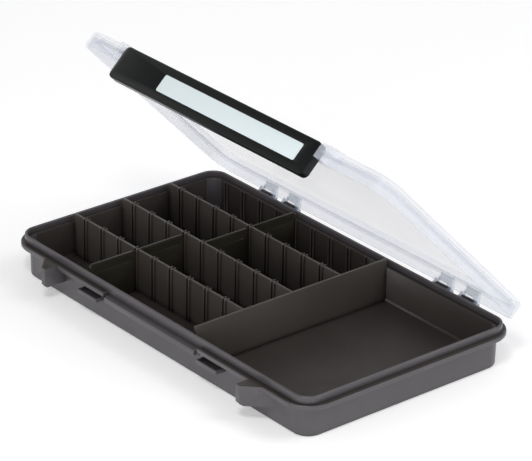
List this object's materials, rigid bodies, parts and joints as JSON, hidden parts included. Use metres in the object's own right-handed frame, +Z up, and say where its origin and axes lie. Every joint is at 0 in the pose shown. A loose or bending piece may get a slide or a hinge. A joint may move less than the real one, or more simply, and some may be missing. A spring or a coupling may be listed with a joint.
{
  "type": "tackle box",
  "caption": "Flat divided tray with a clear hinged lid and a long front latch that carries a label card.",
  "frame": {"origin": "middle of the tray's flat underside", "axes": "+X along the length, to the right seen from the latch; -Y towards the latch; +Z up"},
  "size_m": [0.36, 0.2276, 0.1947],
  "materials": {
    "tray": "warm dark grey moulded plastic with a fine matte grain",
    "divider": "very dark olive moulded plastic, slightly translucent",
    "clear_lid": "clear, faintly milky moulded plastic",
    "seal": "pale translucent soft seal",
    "latch": "black moulded plastic with a satin grain",
    "label_card": "blank pale blue-white card",
    "pin": "drawn steel wire"
  },
  "bodies": {
    "base": {"tray": "tray", "row_wall_front": "tray", "row_wall_middle": "tray", "row_wall_rear": "tray", "cross_wall": "tray", "divider_row_1": "divider", "divider_row_2": "divider", "divider_row_3": "divider", "divider_row_4": "divider", "hinge_pin_outer_left": "pin", "hinge_pin_inner_left": "pin", "hinge_pin_inner_right": "pin", "hinge_pin_outer_right": "pin"},
    "lid": {"lid": "clear_lid", "lid_seal": "seal", "latch_pin_left": "pin", "latch_pin_right": "pin"},
    "latch": {"latch": "latch", "label_card": "label_card"}
  },
  "joints": [
    {"name": "lid_hinge", "type": "hinge", "parent": "base", "child": "lid", "pos_m": [0, 0.107, 0.0275], "axis": [-1, 0, 0], "range_deg": [-46, 134]},
    {"name": "latch_hinge", "type": "hinge", "parent": "lid", "child": "latch", "pos_m": [0, -0.03624, 0.18806], "axis": [-1, 0, 0], "range_deg": [-4, 95]}
  ]
}
